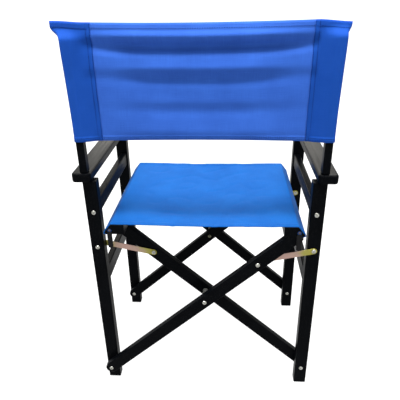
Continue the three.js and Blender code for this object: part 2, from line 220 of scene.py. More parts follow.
def lacquer(name, grain_axis):
    """Black lacquer over wood: its grain shows along grain_axis. Its edges are a little lighter and browner,
    as rubbed wear and also as a painted highlight, and its grey specks are dust and also painted glints.
    """
    tree, shader = new_material(name)
    coordinates = node(tree, "TexCoord").outputs["Object"]
    turn = Vector(grain_axis).rotation_difference(Vector((0, 0, 1))).to_euler()
    turned = node(tree, "Mapping", {"Vector": coordinates, "Rotation": turn}).outputs[0]
    along = map_vector(tree, turned, (260.0, 260.0, 9.0))
    grain = node(
        tree, "TexNoise", {"Vector": along, "Scale": 1.0, "Detail": 5.0, "Roughness": 0.6}).outputs[0]
    blotch = node(tree, "TexNoise", {"Vector": turned, "Scale": 22.0, "Detail": 3.0}).outputs[0]
    dust_and_glint = node(tree, "TexNoise", {"Vector": turned, "Scale": 900.0, "Detail": 2.0}).outputs[0]

    rounded = node(tree, "Bevel", {"Radius": 1.2 * MM}, samples=4).outputs[0]
    true_normal = node(tree, "NewGeometry").outputs["True Normal"]
    agreement = node(
        tree, "VectorMath", {0: rounded, 1: true_normal}, operation="DOT_PRODUCT").outputs["Value"]
    edge = math_node(tree, "MULTIPLY", math_node(tree, "SUBTRACT", 1.0, agreement), 5.0)
    wear_and_highlight = math_node(tree, "MULTIPLY", edge, blotch)

    coat = ramp(tree, blotch, [(0.3, (0.0006, 0.0008, 0.0012)), (0.7, (0.0011, 0.0014, 0.0020))])
    # Grey specks: dust, and also painted glints on the lacquer.
    speckled = mix_colour(tree, ramp(tree, dust_and_glint, [(0.66, grey(0.0)), (0.74, grey(0.35))]), coat,
                          (0.05, 0.05, 0.05, 1.0))
    # The edges are painted a lighter brown: rubbed wear, and also a painted highlight along them.
    colour = mix_colour(tree, ramp(tree, wear_and_highlight, [(0.25, grey(0.0)), (0.9, grey(0.5))]), speckled,
                        (0.055, 0.045, 0.036, 1.0))
    tree.links.new(colour, shader.inputs["Base Color"])
    roughness = ramp(tree, grain, [(0.3, grey(0.26)), (0.7, grey(0.40))])
    tree.links.new(roughness, shader.inputs["Roughness"])
    shader.inputs["Specular IOR Level"].default_value = 0.015
    bump = node(tree, "Bump", {"Height": grain, "Strength": 0.22, "Distance": 0.25 * MM, "Normal": rounded})
    tree.links.new(bump.outputs[0], shader.inputs["Normal"])
    return bpy.data.materials[name]


THREAD_PITCH = 0.9 * MM  # from one thread of the weave to the next


def canvas(name, deep, light, glow, translucency, gloss=0.06):
    """Woven polyester canvas, with the weave laid along the cloth's own UV map, which is in metres.

    Its tone varies between `deep` and `light`, and `glow` is the light that comes through it."""
    tree, shader = new_material(name)
    uv = node(tree, "UVMap", uv_map="cloth").outputs[0]
    split = node(tree, "SeparateXYZ", {0: uv})
    half_turn = math.pi / THREAD_PITCH
    across = math_node(tree, "SINE", math_node(tree, "MULTIPLY", split.outputs[0], half_turn))
    along = math_node(tree, "SINE", math_node(tree, "MULTIPLY", split.outputs[1], half_turn))
    weave = math_node(tree, "MULTIPLY_ADD", math_node(tree, "MULTIPLY", across, along), 0.5, 0.5)
    slub_across, slub_along = (
        node(
            tree, "TexNoise", {"Vector": map_vector(tree, uv, scale), "Scale": 1.0, "Detail": 2.0}).outputs[0]
        for scale in ((30.0, 900.0, 1.0), (900.0, 30.0, 1.0)))
    slubs = math_node(tree, "MULTIPLY", math_node(tree, "ADD", slub_across, slub_along), 0.5)
    cloud = node(
        tree, "TexNoise", {"Vector": uv, "Scale": 14.0, "Detail": 4.0, "Roughness": 0.55}).outputs[0]
    tone = math_node(tree, "MULTIPLY_ADD", slubs, 0.55, math_node(tree, "MULTIPLY", cloud, 0.45))
    tone = math_node(tree, "MULTIPLY_ADD", math_node(tree, "SUBTRACT", weave, 0.5), 0.10, tone)
    colour = ramp(tree, tone, [(0.36, deep), (0.64, light)])
    tree.links.new(colour, shader.inputs["Base Color"])
    shader.inputs["Roughness"].default_value = 0.72
    shader.inputs["Specular IOR Level"].default_value = gloss
    shader.inputs["Sheen Weight"].default_value = 0.3 * gloss
    shader.inputs["Sheen Roughness"].default_value = 0.45
    bump = roughen(tree, shader, math_node(tree, "MULTIPLY_ADD", slubs, 0.6, weave), 0.35, 0.2 * MM)
    through = node(tree, "BsdfTranslucent", {"Color": (*glow, 1.0), "Normal": bump}).outputs[0]
    both = node(tree, "MixShader", {0: translucency, 1: shader.outputs[0], 2: through}).outputs[0]
    tree.links.new(both, tree.nodes["Material Output"].inputs["Surface"])
    return bpy.data.materials[name]


def sewing_thread(name, colour):
    tree, shader = new_material(name)
    coordinates = node(tree, "TexCoord").outputs["Object"]
    twist = node(tree, "TexWave", {"Vector": coordinates, "Scale": 260.0, "Distortion": 1.5},
                 bands_direction="DIAGONAL").outputs[1]
    darker = tuple(0.55 * c for c in colour)
    tree.links.new(ramp(tree, twist, [(0.2, darker), (0.8, colour)]), shader.inputs["Base Color"])
    shader.inputs["Roughness"].default_value = 0.7
    shader.inputs["Specular IOR Level"].default_value = 0.05
    roughen(tree, shader, twist, 0.4, 0.1 * MM)
    return bpy.data.materials[name]


def yellow_zinc(name):
    """Yellow-passivated zinc: pink along the middle of the plate, olive towards the ends."""
    tree, shader = new_material(name)
    generated = node(tree, "TexCoord").outputs["Generated"]
    place = node(tree, "SeparateXYZ", {0: generated}).outputs[0]
    coordinates = node(tree, "TexCoord").outputs["Object"]
    cloud = node(tree, "TexNoise", {"Vector": coordinates, "Scale": 55.0, "Detail": 4.0}).outputs[0]
    wander = math_node(tree, "MULTIPLY", math_node(tree, "SUBTRACT", cloud, 0.5), 0.30)
    factor = math_node(tree, "ADD", place, wander)
    olive = (0.19, 0.172, 0.020)
    yellow = (0.22, 0.20, 0.045)
    pink = (0.30, 0.205, 0.16)
    rose = (0.34, 0.215, 0.185)
    colour = ramp(tree, factor, [
        (0.02, olive), (0.20, yellow), (0.30, pink), (0.52, rose), (0.68, pink), (0.78, yellow),
        (0.98, olive)])
    tree.links.new(colour, shader.inputs["Base Color"])
    shader.inputs["Metallic"].default_value = 0.35
    shader.inputs["Specular IOR Level"].default_value = 0.3
    scratches = map_vector(tree, coordinates, (40.0, 40.0, 900.0))
    brushed = node(tree, "TexNoise", {"Vector": scratches, "Scale": 1.0, "Detail": 3.0}).outputs[0]
    tree.links.new(ramp(tree, brushed, [(0.3, grey(0.28)), (0.7, grey(0.46))]), shader.inputs["Roughness"])
    roughen(tree, shader, brushed, 0.15, 0.1 * MM)
    return bpy.data.materials[name]


def metal(name, bright, dull, metallic, smooth, rough):
    """A plated or blackened fastener, a little tarnished."""
    tree, shader = new_material(name)
    coordinates = node(tree, "TexCoord").outputs["Object"]
    tarnish = node(tree, "TexNoise", {"Vector": coordinates, "Scale": 320.0, "Detail": 4.0}).outputs[0]
    tree.links.new(ramp(tree, tarnish, [(0.35, dull), (0.6, bright)]), shader.inputs["Base Color"])
    roughness = ramp(tree, tarnish, [(0.3, grey(rough)), (0.7, grey(smooth))])
    tree.links.new(roughness, shader.inputs["Roughness"])
    shader.inputs["Metallic"].default_value = metallic
    if metallic == 0:
        shader.inputs["Specular IOR Level"].default_value = 0.05
    roughen(tree, shader, tarnish, 0.1, 0.1 * MM)
    return bpy.data.materials[name]


def bare_wood(name):
    """Unfinished dowel wood, with its grain along Y."""
    tree, shader = new_material(name)
    coordinates = node(tree, "TexCoord").outputs["Object"]
    stretched = map_vector(tree, coordinates, (420.0, 14.0, 420.0))
    grain = node(
        tree, "TexNoise", {"Vector": stretched, "Scale": 1.0, "Detail": 5.0, "Distortion": 0.6}).outputs[0]
    tree.links.new(ramp(tree, grain, [(0.3, (0.10, 0.055, 0.03)), (0.7, (0.21, 0.13, 0.075))]),
                   shader.inputs["Base Color"])
    shader.inputs["Roughness"].default_value = 0.7
    roughen(tree, shader, grain, 0.3, 0.2 * MM)
    return bpy.data.materials[name]


# ---- Mesh helpers ----


def mesh_piece(name, points, faces, material, uvs=None, smooth=True):
    """A new object from points and faces. uvs holds one (u, v) in metres for each point."""
    mesh = bpy.data.meshes.new(name)
    mesh.from_pydata(points, [], faces)
    if smooth:
        mesh.polygons.foreach_set("use_smooth", [True] * len(mesh.polygons))
    if uvs is not None:
        layer = mesh.uv_layers.new(name="cloth")
        for loop in mesh.loops:
            layer.data[loop.index].uv = uvs[loop.vertex_index]
    mesh.materials.append(material)
    piece = bpy.data.objects.new(name, mesh)
    bpy.context.scene.collection.objects.link(piece)
    return piece


def grid_faces(rows, columns):
    """The quads of a grid whose points are stored row by row."""
    return [
        (i * columns + j, i * columns + j + 1, (i + 1) * columns + j + 1, (i + 1) * columns + j)
        for i in range(rows - 1)
        for j in range(columns - 1)
    ]


def apply_modifiers(piece):
    with bpy.context.temp_override(object=piece, active_object=piece, selected_objects=[piece]):
        for modifier in list(piece.modifiers):
            bpy.ops.object.modifier_apply(modifier=modifier.name)


def smoothstep(low, high, value):
    """0 up to `low`, 1 from `high` on, with a smooth rise between them."""
    t = min(max((value - low) / (high - low), 0.0), 1.0)
    return t * t * (3 - 2 * t)


def fade(first, last, low, high, value):
    """`first` up to `low`, `last` from `high` on, with a smooth change between them."""
    return first + (last - first) * smoothstep(low, high, value)


def circle(x, y, z, radius_at, segments):
    """Points round an axis along Y, where radius_at gives the radius at each angle."""
    angles = [2 * math.pi * i / segments for i in range(segments)]
    return [(x + radius_at(a) * math.cos(a), y, z + radius_at(a) * math.sin(a)) for a in angles]


def hexagon(flat):
    """The radius of a hexagon at an angle, from the distance of its flats to its middle."""
    return lambda angle: flat / math.cos((angle + math.pi / 6) % (math.pi / 3) - math.pi / 6)


def lathe(name, x, z, profile, material, socket=None, segments=36):
    """A turned piece on an axis along Y.

    profile lists (radius, y) from one end to the other, and closes on the axis or on itself. socket is
    (flat radius, y of the mouth, y of the floor) of a hexagonal drive in its last face."""
    points, faces, rings = [], [], []

    def add_ring(y, radius_at=None):
        made = circle(x, y, z, radius_at, segments) if radius_at else [(x, y, z)]
        rings.append(list(range(len(points), len(points) + len(made))))
        points.extend(made)

    for radius, y in profile:
        add_ring(y, (lambda angle, radius=radius: radius) if radius else None)
    if socket:
        flat, mouth, floor = socket
        add_ring(mouth, hexagon(flat))
        add_ring(floor, hexagon(flat))
        add_ring(floor)
    if profile[0] == profile[-1]:
        rings[-1] = rings[0]
    for near, far in zip(rings, rings[1:]):
        for i in range(segments):
            k = (i + 1) % segments
            if len(near) == 1:
                faces.append((near[0], far[k], far[i]))
            elif len(far) == 1:
                faces.append((near[i], near[k], far[0]))
            else:
                faces.append((near[i], near[k], far[k], far[i]))
    return mesh_piece(name, points, faces, material, smooth=False)


# ---- Wood ----


def paint(piece, material):
    piece.data.materials.clear()
    piece.data.materials.append(material)


def dress_wood(materials):
    """Gives every wooden CAD node its lacquer, with the grain along its own length."""
    for name, piece in frame["nodes"].items():
        if "cross_leg" in name:
            kind = "to_left" if name.endswith("left") else "to_right"
        elif "leg" in name and "bolt" not in name or "post" in name:
            kind = "upright"
        elif "rail" in name and "screw" not in name or name.endswith("armrest"):
            kind = "level"
        else:
            continue
        paint(piece, materials[kind])


# ---- Canvas ----

CLOTH = 0.7 * MM  # one layer of canvas
HEM_LAYERS = 2
LAP = 1.3 * MM  # how far the sewn-down lap of a sleeve lies behind the panel
THREAD_RADIUS = 0.45 * MM
THREAD_SIDES = 6
STITCH = 3.4 * MM
STITCH_PITCH = 4.4 * MM
HEM_STEP = 0.6 * MM  # over which a cloth goes from two layers to one
ARC_STEPS = 8
TINY = 1e-12


def rounded_path(corners, radii):
    """A line through the corners, turned on curves of about the given radii."""
    corners = [Vector(corner) for corner in corners]
    line = [corners[0]]
    for before, corner, after, radius in zip(corners, corners[1:], corners[2:], radii):
        back = (before - corner).normalized()
        ahead = (after - corner).normalized()
        half = back.angle(ahead) / 2
        room = 0.48 * min((before - corner).length, (after - corner).length)
        reach = min(radius / math.tan(half), room)
        start, end = corner + back * reach, corner + ahead * reach
        for i in range(ARC_STEPS + 1):
            t = i / ARC_STEPS
            line.append((1 - t) ** 2 * start + 2 * t * (1 - t) * corner + t ** 2 * end)
    line.append(corners[-1])
    return line


def distances(line):
    """How far each point of a line is from its start, along the line."""
    found = [0.0]
    for a, b in zip(line, line[1:]):
        found.append(found[-1] + (b - a).length)
    return found


def walk(line, lengths, goal):
    """The point at the distance `goal` along a line, and the number of the step that holds it."""
    k = 0
    while k < len(line) - 2 and lengths[k + 1] < goal:
        k += 1
    share = (goal - lengths[k]) / max(lengths[k + 1] - lengths[k], TINY)
    return line[k].lerp(line[k + 1], min(share, 1.0)), k


def resample(line, count):
    """`count` points at equal distances along a line, and the line's length."""
    lengths = distances(line)
    goals = [lengths[-1] * i / (count - 1) for i in range(count)]
    return [walk(line, lengths, goal)[0] for goal in goals], lengths[-1]


def hemmed_rows(length, low_hem, high_hem, step):
    """Distances across a cloth from one hemmed edge to the other, with a sharp step at each hem."""
    rows = [0.0, 0.4 * low_hem, 0.8 * low_hem, low_hem, low_hem + HEM_STEP]
    inner = length - low_hem - high_hem - 2 * HEM_STEP
    count = round(inner / step)
    rows += [low_hem + HEM_STEP + inner * (i + 1) / count for i in range(count)]
    rows += [length - high_hem, length - 0.8 * high_hem, length - 0.4 * high_hem, length]
    return rows


def hemmed_cloth(name, points, rows, columns, uvs, in_hem, material):
    """A cloth from a grid of points, one layer thick, and two layers where in_hem says so."""
    piece = mesh_piece(name, points, grid_faces(rows, columns), material, uvs)
    group = piece.vertex_groups.new(name="hem")
    group.add([i for i, inside in enumerate(in_hem) if inside], 1.0, "ADD")
    modifier = piece.modifiers.new("thickness", "SOLIDIFY")
    modifier.thickness = HEM_LAYERS * CLOTH
    modifier.offset = 0.0
    modifier.vertex_group = "hem"
    modifier.thickness_vertex_group = 1 / HEM_LAYERS
    modifier.use_even_offset = False
    apply_modifiers(piece)
    return piece


def stitch_bead(start, end, out, points, faces):
    """Adds one thread stitch from start to end, lying on a cloth whose outward direction is `out`."""
    along = end - start
    side = along.cross(out).normalized()
    first = len(points)
    points.append(start - out * THREAD_RADIUS)
    for share in (0.22, 0.78):
        for i in range(THREAD_SIDES):
            angle = 2 * math.pi * i / THREAD_SIDES
            arm = side * math.cos(angle) + out * math.sin(angle)
            points.append(start + along * share + 0.9 * THREAD_RADIUS * arm)
    last = len(points)
    points.append(end - out * THREAD_RADIUS)
    for i in range(THREAD_SIDES):
        near, near_next = first + 1 + i, first + 1 + (i + 1) % THREAD_SIDES
        far, far_next = near + THREAD_SIDES, near_next + THREAD_SIDES
        faces.append((first, near_next, near))
        faces.append((near, near_next, far_next, far))
        faces.append((far, far_next, last))


def stitching(name, lines, material):
    """Rows of stitches. Each line is (path, normals): points on the cloth and the outward direction there."""
    points, faces = [], []
    for path, normals in lines:
        lengths = distances(path)
        for i in range(int((lengths[-1] - STITCH) / STITCH_PITCH) + 1):
            start, k = walk(path, lengths, i * STITCH_PITCH)
            end = walk(path, lengths, i * STITCH_PITCH + STITCH)[0]
            stitch_bead(start, end, normals[k], points, faces)
    return mesh_piece(name, points, faces, material)


# ---- Back: a panel between two sleeves round the posts ----

post_low, post_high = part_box("left_back_post")
back_low, back_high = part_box("back_canvas")
back_length = back_high.z - back_low.z

PANEL_Y = 163 * MM
SEAM_X = 207.5 * MM  # where the panel ends under the lap of each sleeve
LAP_X = 203 * MM
SLEEVE_X = 211.5 * MM
BACK_TOP_HEM = 11 * MM
BACK_LOW_HEM = 9 * MM
BACK_ROW = 3 * MM
PANEL_COLUMNS = 140
HEM_LINE_STEPS = 160
SEAM_LINE_STEPS = 60

WRINKLE_PITCH = 60 * MM  # from one ridge of the slack cloth to the next
WRINKLE_TOP = 816 * MM  # height of the strongest upward-facing band
WRINKLE_SLOPE = 0.95
WRINKLE_BOW = 5 * MM  # how far a fold hangs lower in the middle
WRINKLE_LIFT = 7 * MM
WRINKLE_WANDER = 4 * MM
WRINKLE_WEAKEST = 0.14  # the share of the slope that is left low on the panel
WRINKLE_WEAK_Z = 739 * MM
WRINKLE_FULL_Z = 845.6 * MM
WRINKLE_FADE_X = 120 * MM  # over which a fold dies away towards its ends


def back_top(x):
    """Height of the top edge: it sags a little between the posts."""
    return back_high.z + (2.0 - 2.6 * (1 - (x / SEAM_X) ** 2)) * MM


def back_bottom(x):
    return back_low.z + 2.2 * MM * (1 - min((x / SEAM_X) ** 2, 1.0))


def wrinkle(x, z):
    """How far the cloth stands behind its plane: slack folds between the posts, dying away downwards."""
    wander = WRINKLE_WANDER * noise.noise(Vector((4.5 * x, 3 * z, 0.3)))
    drift = WRINKLE_BOW * (1 - min((x / SEAM_X) ** 2, 1.0)) - WRINKLE_LIFT + wander
    phase = 2 * math.pi * (z + drift - WRINKLE_TOP) / WRINKLE_PITCH
    strength = fade(WRINKLE_WEAKEST, 1, WRINKLE_WEAK_Z, WRINKLE_FULL_Z, z)
    near_hem = fade(1, 0.5, 850 * MM, 872 * MM, z)
    reach = fade(190 * MM, 235 * MM, 800 * MM, 840 * MM, z)
    taper = fade(1, 0.2, reach - WRINKLE_FADE_X, reach, abs(x))
    depth = WRINKLE_SLOPE * strength * near_hem * taper * WRINKLE_PITCH / (2 * math.pi)
    ridge = -depth * (math.sin(phase) - 0.28 * math.sin(2 * phase + 0.6))
    curl = -0.9 * MM * (1 - smoothstep(0, 16 * MM, z - back_low.z))
    ripple = 0.35 * MM * noise.noise(Vector((38 * x, 5 * z, 2.0)))
    broad = 2.4 * MM * noise.noise(Vector((7 * x, 9 * z, 5.0)))
    pucker = -0.5 * MM * math.exp(-((abs(x) - SEAM_X) / (5 * MM)) ** 2)
    return ridge + curl + ripple + broad + pucker


def panel_point(x, z, behind=0.0):
    return Vector((x, PANEL_Y + wrinkle(x, z) + behind, z))


def make_back_panel(cloth, thread):
    xs = [-SEAM_X + 2 * SEAM_X * j / (PANEL_COLUMNS - 1) for j in range(PANEL_COLUMNS)]
    rows = hemmed_rows(back_length, BACK_LOW_HEM, BACK_TOP_HEM, BACK_ROW)
    points, uvs, in_hem = [], [], []
    for distance in rows:
        for x in xs:
            z = back_bottom(x) + distance / back_length * (back_top(x) - back_bottom(x))
            points.append(panel_point(x, z))
            uvs.append((x, z))
            in_hem.append(distance <= BACK_LOW_HEM or distance >= back_length - BACK_TOP_HEM)
    panel = hemmed_cloth("back_panel", points, len(rows), PANEL_COLUMNS, uvs, in_hem, cloth)

    lines = []
    stitched_xs = [(2 * i / HEM_LINE_STEPS - 1) * LAP_X for i in range(HEM_LINE_STEPS + 1)]
    hem_lines = (
        (back_top, 1.5 * MM - BACK_TOP_HEM),
        (back_bottom, BACK_LOW_HEM - 1.5 * MM),
        (back_bottom, BACK_LOW_HEM - 5 * MM),
    )
    for side in (1, -1):
        behind = side * CLOTH * HEM_LAYERS / 2
        for edge, inset in hem_lines:
            path = [panel_point(x, edge(x) + inset, behind) for x in stitched_xs]
            lines.append((path, [Vector((0, side, 0))] * len(path)))
    seams = stitching("back_panel_stitching", lines, thread)
    return panel, seams


SLEEVE_COLUMNS = 90
SLEEVE_LAP_SHARE = 0.955  # of the way round, from where the cloth is sewn down in two layers
SLEEVE_FIT = 1.1 * MM  # between the cloth and the post's front and rear faces
MOUTH_LEAN = {"left": 11 * MM, "right": 10 * MM}  # how far the empty top leans forward at its corner
MOUTH_WIDEN = {"left": 7 * MM, "right": -4 * MM}  # how far that corner is pulled outwards
MOUTH_DROOP = {"left": -2.5 * MM, "right": 5 * MM}  # how far it lies below the panel's edge
MOUTH_GAPE = 3 * MM  # between the layers at the corner
MOUTH_TURN = 3 * MM  # half of the width over which the cloth turns back there
FOLD_REACH = {"left": 30 * MM, "right": 10 * MM}  # how far the panel's folds run on into the sleeve


def sleeve_section(z):
    """The sleeve's line at height z on the +X side, from the seam round the front of the post to the lap."""
    front = post_low.y - SLEEVE_FIT
    rear = post_high.y + SLEEVE_FIT
    outer = post_high.x + fade(1.6 * MM, 4.2 * MM, 700 * MM, 862 * MM, z)
    inner = post_low.x - 1.0 * MM
    corners = [
        (SEAM_X, PANEL_Y), (SLEEVE_X, PANEL_Y), (inner, front), (outer, front), (outer, rear), (inner, rear),
        (SLEEVE_X, PANEL_Y + LAP), (LAP_X, PANEL_Y + LAP),
    ]
    return rounded_path(corners, [6 * MM, 10 * MM, 5 * MM, 5 * MM, 12 * MM, 6 * MM])


def emptied(z):
    """0 where the post fills the sleeve, 1 at the hem above it, where the two layers lie together."""
    return smoothstep(post_high.z, back_high.z - 0.6 * BACK_TOP_HEM, z)


def flat_mouth(distance, half, side_name):
    """Where a point of the section lies once the top is flat: it turns back `half` of the way round."""
    turned = smoothstep(half - MOUTH_TURN, half + MOUTH_TURN, distance)
    x = SEAM_X + half - abs(half - distance)
    outwards = (x - SEAM_X) / half
    gap = LAP + (MOUTH_GAPE - LAP) * outwards
    return Vector((
        x + MOUTH_WIDEN[side_name] * outwards,
        PANEL_Y - MOUTH_LEAN[side_name] * smoothstep(0.1, 1.0, outwards) + gap * turned,
    ))


def sleeve_row(side, side_name, share_up):
    """One row of the sleeve's points, and its length round the post."""
    low, top = back_bottom(SEAM_X), back_top(SEAM_X)
    section, around = resample(sleeve_section(low + share_up * (top - low)), SLEEVE_COLUMNS)
    half = (around - SEAM_X + LAP_X) / 2
    row = []
    for j, place in enumerate(section):
        share = j / (SLEEVE_COLUMNS - 1)
        flat = flat_mouth(around * share, half, side_name)
        droop = MOUTH_DROOP[side_name] * smoothstep(0, 1, (flat.x - SEAM_X) / half)
        z = low + share_up * (top - droop - low)
        x, y = place.xy.lerp(flat, emptied(z))
        y += wrinkle(side * place.x, z) * fade(1, 0, SEAM_X, SEAM_X + FOLD_REACH[side_name], place.x)
        y += 0.5 * MM * noise.noise(Vector((60 * x, 60 * y, 16 * z + 9 * side)))
        x += 0.6 * MM * noise.noise(Vector((30 * y, 11 * z, 4.0 + side))) * smoothstep(0.25, 0.4, share)
        row.append(Vector((side * x, y, z)))
    return row, around


def make_sleeve(side, side_name, cloth, thread):
    rows = hemmed_rows(back_length, BACK_LOW_HEM, BACK_TOP_HEM, BACK_ROW)
    uvs, in_hem, grid = [], [], []
    for distance in rows:
        row, around = sleeve_row(side, side_name, distance / back_length)
        grid.append(row)
        hemmed = distance <= BACK_LOW_HEM or distance >= back_length - BACK_TOP_HEM
        for j, point in enumerate(row):
            share = j / (SLEEVE_COLUMNS - 1)
            uvs.append((side * (SEAM_X + around * share), point.z))
            in_hem.append(hemmed or share > SLEEVE_LAP_SHARE)
    points = [point for row in grid for point in row]
    name = f"{side_name}_back_sleeve"
    sleeve = hemmed_cloth(name, points, len(rows), SLEEVE_COLUMNS, uvs, in_hem, cloth)

    def row_line(distance):
        """A stitch line round the sleeve at a distance from its bottom edge."""
        k = min(range(len(rows)), key=lambda i: abs(rows[i] - distance))
        path, normals = [], []
        for j in range(1, SLEEVE_COLUMNS - 1):
            along = grid[k][j + 1] - grid[k][j - 1]
            up = grid[min(k + 1, len(rows) - 1)][j] - grid[max(k - 1, 0)][j]
            out = along.cross(up).normalized() * side
            path.append(grid[k][j] + out * (HEM_LAYERS * CLOTH / 2))
            normals.append(out)
        return path, normals

    hem_lines = (back_length - BACK_TOP_HEM, 0.8 * BACK_LOW_HEM, 0.4 * BACK_LOW_HEM)
    lines = [row_line(distance) for distance in hem_lines]
    for x in (LAP_X + 0.8 * MM, SLEEVE_X - 0.3 * MM):
        low, high = back_bottom(x) + 1 * MM, back_top(x) - 1 * MM
        heights = [low + (high - low) * i / SEAM_LINE_STEPS for i in range(SEAM_LINE_STEPS + 1)]
        for out_sign, behind in ((1, LAP + CLOTH * HEM_LAYERS / 2), (-1, -CLOTH / 2)):
            path = [panel_point(side * x, z, behind) for z in heights]
            lines.append((path, [Vector((0, out_sign, 0))] * len(path)))
    seams = stitching(f"{side_name}_back_sleeve_stitching", lines, thread)
    return sleeve, seams


def make_back(cloth, shaded_sleeve_cloth, thread):
    panel, panel_seams = make_back_panel(cloth, thread)
    for piece in (panel, panel_seams):
        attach(piece, "left_side")
        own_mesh(piece)
    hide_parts("back_canvas")
    for side, side_name in ((1, "left"), (-1, "right")):
        sleeve, seams = make_sleeve(side, side_name, shaded_sleeve_cloth, thread)
        for piece in (sleeve, seams):
            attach(piece, f"{side_name}_side")
        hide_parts("back_canvas")


# ---- Seat: a sling over both rails, its ends hemmed round the dowels ----

rail_low, rail_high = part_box("left_seat_rail")
dowel_low, dowel_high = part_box("left_seat_dowel")
dowel_x = (dowel_low.x + dowel_high.x) / 2
dowel_z = (dowel_low.z + dowel_high.z) / 2
dowel_radius = (dowel_high.x - dowel_low.x) / 2
seat_low, seat_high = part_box("seat_canvas")

SEAT_HEM = 12 * MM
SEAT_CREASE_Y = 120 * MM  # a crease left by the way the cloth was folded
SHOULDER_X = 202.8 * MM  # the rail's upper outer edge
SEAT_ROW = 4 * MM
SEAT_END_COLUMNS = 64  # from a rail's inner edge to the end of the cloth
SEAT_MIDDLE_COLUMNS = 90
SEAT_STITCH_MARGIN = 28  # columns at each end, under the rails, that have no stitches
SEAT_FIT = 0.3 * MM  # between the cloth and the rail
DOWEL_FIT = 0.1 * MM
DOWEL_STEPS = 24


def seat_sag(x, y):
    """How far the sling hangs below the rails' tops between them."""
    across = 1 - smoothstep(0.0, rail_low.x - 4 * MM, abs(x))
    along = 1 - (abs(y) / seat_high.y) ** 3
    sag = across * (2.0 * MM + 6.5 * MM * along)
    free = 1 - smoothstep(rail_low.x - 30 * MM, rail_low.x, abs(x))
    crease = 1.0 * MM * math.exp(-((y - SEAT_CREASE_Y) / (9 * MM)) ** 2)
    ripples = 1.3 * MM * noise.noise(Vector((9 * x, 16 * y + 3 * x, 1.0)))
    fine = 0.45 * MM * noise.noise(Vector((28 * x + 9 * y, 34 * y - 12 * x, 7.0)))
    crumpled = abs(noise.noise(Vector((13 * x + 7 * y, 15 * y - 9 * x, 11.0))))
    fine += 0.8 * MM * (1 - smoothstep(0, 0.22, crumpled))
    return sag + free * (crease + ripples + fine)


def seat_section():
    """One half of the sling's line in X and Z, from over the rail's inner edge to the end of the hem."""
    top = rail_high.z + CLOTH / 2 + SEAT_FIT
    under = rail_low.z - CLOTH / 2 - SEAT_FIT
    outer = seat_high.x - CLOTH / 2
    turn = dowel_radius + CLOTH / 2 + DOWEL_FIT
    half_mouth = 1.1 * MM
    corners = [
        (rail_low.x, top), (SHOULDER_X, top),
        (outer, rail_low.z + 2.6 * MM), (outer - 2 * MM, under),
        (dowel_x + half_mouth, under), (dowel_x + half_mouth, dowel_z - turn + 0.3 * MM),
    ]
    line = rounded_path(corners, [3 * MM, 2.4 * MM, 2.4 * MM, 1.0 * MM])
    start = math.asin(half_mouth / turn)
    for i in range(DOWEL_STEPS + 1):
        angle = -math.pi / 2 + start + (2 * math.pi - 2 * start) * i / DOWEL_STEPS
        line.append(Vector((dowel_x + turn * math.cos(angle), dowel_z + turn * math.sin(angle))))
    line.append(Vector((dowel_x - half_mouth, under + 1.2 * MM)))
    return line


def make_seat(cloth, thread):
    half, reach = resample(seat_section(), SEAT_END_COLUMNS)
    inner = rail_low.x
    end = [(p.x, p.y, inner + reach * i / (SEAT_END_COLUMNS - 1)) for i, p in enumerate(half)]
    spots = [2 * inner * j / SEAT_MIDDLE_COLUMNS - inner for j in range(1, SEAT_MIDDLE_COLUMNS)]
    middle = [(x, half[0].y, x) for x in spots]
    columns = [(-x, z, -u) for x, z, u in reversed(end)] + middle + end
    depth = seat_high.y - seat_low.y
    rows = hemmed_rows(depth, SEAT_HEM, SEAT_HEM, SEAT_ROW)
    points, uvs, in_hem, grid = [], [], [], []
    for distance in rows:
        y_row = seat_low.y + distance
        row = []
        for x, z, u in columns:
            y = y_row + 0.7 * MM * noise.noise(Vector((6 * u, 0.4 if y_row > 0 else 8.4, 0.0)))
            point = Vector((x, y, z - (seat_sag(x, y) if abs(u) < inner else 0.0)))
            row.append(point)
            points.append(point)
            uvs.append((u, y))
            in_hem.append(distance <= SEAT_HEM or distance >= depth - SEAT_HEM)
        grid.append(row)
    seat = hemmed_cloth("seat_sling", points, len(rows), len(columns), uvs, in_hem, cloth)

    lines = []
    for distance in (0.8 * SEAT_HEM, depth - 0.8 * SEAT_HEM):
        k = min(range(len(rows)), key=lambda i: abs(rows[i] - distance))
        path, normals = [], []
        for j in range(SEAT_STITCH_MARGIN, len(columns) - SEAT_STITCH_MARGIN):
            along = grid[k][j + 1] - grid[k][j - 1]
            out = Vector((-along.z, 0, along.x)).normalized()
            path.append(grid[k][j] + out * (HEM_LAYERS * CLOTH / 2 - 0.15 * MM))
            normals.append(out)
        lines.append((path, normals))
    seams = stitching("seat_sling_stitching", lines, thread)
    for piece in (seat, seams):
        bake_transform(piece)
    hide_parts("seat_canvas")


# ---- Link plates, bolts, washers and dowels ----

LINK_WIDTH = 14 * MM
LINK_HOLE = 3.3 * MM
LINK_SOFT = 0.3 * MM
LINK_END_STEPS = 24
LINK_HOLE_SIDES = 28
WELD_DISTANCE = 0.01 * MM
HEAD_HEIGHT = 2.4 * MM
HEAD_RIM = 0.35 * MM
NUT_HEIGHT = 2.4 * MM
NUT_RADIUS = 4.5 * MM
SHANK_RADIUS = 3 * MM
SCREW_RADIUS = 2.5 * MM
SOCKET_FLAT = 1.45 * MM
SOCKET_DEPTH = 1.4 * MM
RING_HOLE = 3.3 * MM
RING_SOFT = 0.3 * MM
DOWEL_SOFT = 0.5 * MM


def plate_outline(start, end, radius, steps):
    """A strip with round ends, as points in X and Z."""
    along = (end - start).normalized()
    across = Vector((-along.y, along.x))
    outline = []
    for centre, direction in ((end, along), (start, -along)):
        turn = across * (-1 if centre is end else 1)
        for i in range(steps + 1):
            angle = math.pi * i / steps
            outline.append(centre + radius * (turn * math.cos(angle) + direction * math.sin(angle)))
    return outline


